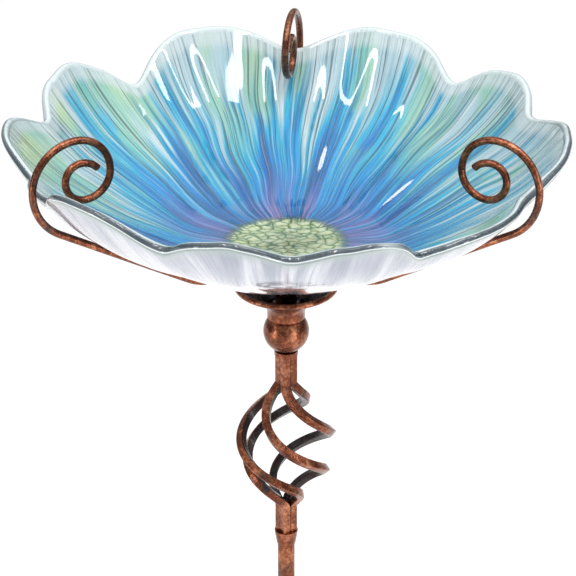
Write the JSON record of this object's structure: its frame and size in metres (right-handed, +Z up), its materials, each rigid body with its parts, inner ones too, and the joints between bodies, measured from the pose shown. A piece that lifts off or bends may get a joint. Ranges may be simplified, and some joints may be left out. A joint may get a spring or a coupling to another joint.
{
  "type": "bird bath",
  "caption": "Fluted glass bowl in a scroll-arm cradle on a twisted-basket stake that plugs together in sections and pushes into the ground.",
  "frame": {"origin": "on the pole's axis at the ground line", "axes": "+Z up along the pole, front towards -Y, +X to the right seen from the front"},
  "size_m": [0.3028, 0.2989, 0.891],
  "materials": {
    "antique_copper": "antique copper finish with dark patina in the hollows and bright worn edges",
    "plain_steel": "darkened steel fastener",
    "soft_pad": "soft dark rubber",
    "fluted_glass": "pressed glass with radial flutes, iridescent pale rim, turquoise and azure streaks towards a green centre"
  },
  "bodies": {
    "stake": {"lower_pole": "antique_copper", "centre_spike": "antique_copper", "side_prong_left": "antique_copper", "side_prong_right": "antique_copper"},
    "lower_pin": {"lower_joiner": "antique_copper"},
    "middle_section": {"middle_pole": "antique_copper"},
    "upper_pin": {"upper_joiner": "antique_copper"},
    "stem": {"upper_pole": "antique_copper", "lower_collar": "antique_copper", "basket_bar_1": "antique_copper", "basket_bar_2": "antique_copper", "basket_bar_3": "antique_copper", "basket_bar_4": "antique_copper", "upper_collar": "antique_copper", "support_stud": "plain_steel", "ball": "antique_copper", "drip_dish": "antique_copper", "lock_nut": "plain_steel"},
    "cradle": {"cradle_hub": "antique_copper", "hub_socket": "antique_copper", "rest_pad": "soft_pad", "scroll_arm_back": "antique_copper", "scroll_arm_left": "antique_copper", "scroll_arm_right": "antique_copper"},
    "bowl": {"glass_bowl": "fluted_glass"}
  },
  "joints": [
    {"name": "lower_turn", "type": "hinge", "parent": "stake", "child": "lower_pin", "pos_m": [0, 0, 0.16], "axis": [0, 0, 1], "continuous": true},
    {"name": "middle_pull", "type": "slide", "parent": "lower_pin", "child": "middle_section", "axis": [0, 0, 1], "range_m": [0, 0.028]},
    {"name": "upper_turn", "type": "hinge", "parent": "middle_section", "child": "upper_pin", "pos_m": [0, 0, 0.325], "axis": [0, 0, 1], "continuous": true},
    {"name": "upper_pull", "type": "slide", "parent": "upper_pin", "child": "stem", "axis": [0, 0, 1], "range_m": [0, 0.028]},
    {"name": "cradle_lift", "type": "slide", "parent": "stem", "child": "cradle", "axis": [0, 0, 1], "range_m": [0, 0.0185]},
    {"name": "bowl_lift", "type": "slide", "parent": "cradle", "child": "bowl", "axis": [0, 0, 1], "range_m": [0, 0.004]}
  ]
}
